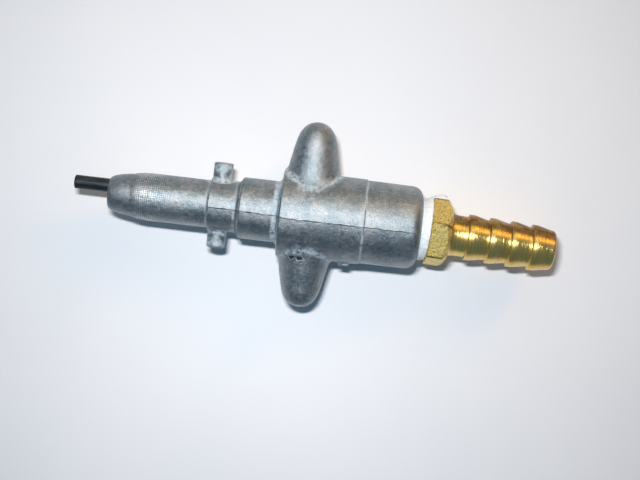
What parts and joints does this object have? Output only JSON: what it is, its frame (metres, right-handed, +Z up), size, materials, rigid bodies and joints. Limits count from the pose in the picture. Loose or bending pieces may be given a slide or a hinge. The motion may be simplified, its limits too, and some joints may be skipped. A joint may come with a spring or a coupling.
{
  "type": "fuel nozzle",
  "caption": "Twist-lock fuel nozzle: die-cast body with finger wings, bayonet lugs and a tapered nose, a sprung valve rod and a brass hose barb.",
  "frame": {"origin": "on the nozzle's axis, in the plane of the seat shoulder: the ring face at the barrel's front that stops against the tank fitting", "axes": "-X towards the nose and the valve rod's tip, +X towards the hose barb, the finger wings and lugs along +Y and -Y, +Z up with the nozzle lying on its side; the parting plane is XZ"},
  "size_m": [0.1133, 0.0438, 0.0206],
  "materials": {
    "cast_zinc": "as-cast zinc alloy, dull grey with fine mottling",
    "brass": "turned and lightly tarnished, with fine tool marks",
    "black_steel": "black oxide, semi-gloss",
    "spring_steel": "bright stainless steel",
    "acetal": "moulded, natural white, slight sheen",
    "nitrile": "moulded, matt black",
    "sealing_tape": "wrinkled white thread tape"
  },
  "bodies": {
    "nozzle": {"nozzle_body": "cast_zinc", "valve_seat": "brass", "rod_guide": "acetal", "return_spring": "spring_steel", "spring_seat": "spring_steel", "snap_ring": "spring_steel", "hose_barb": "brass", "sealing_tape": "sealing_tape"},
    "valve": {"valve_rod": "black_steel", "seal_washer": "nitrile", "valve_disc": "brass", "rod_clip": "spring_steel"}
  },
  "joints": [
    {"name": "valve_push", "type": "slide", "parent": "nozzle", "child": "valve", "axis": [1, 0, 0], "range_m": [0, 0.005], "stiffness_N_per_m": 400, "springref_m": -0.006, "deforming": ["return_spring"]}
  ]
}
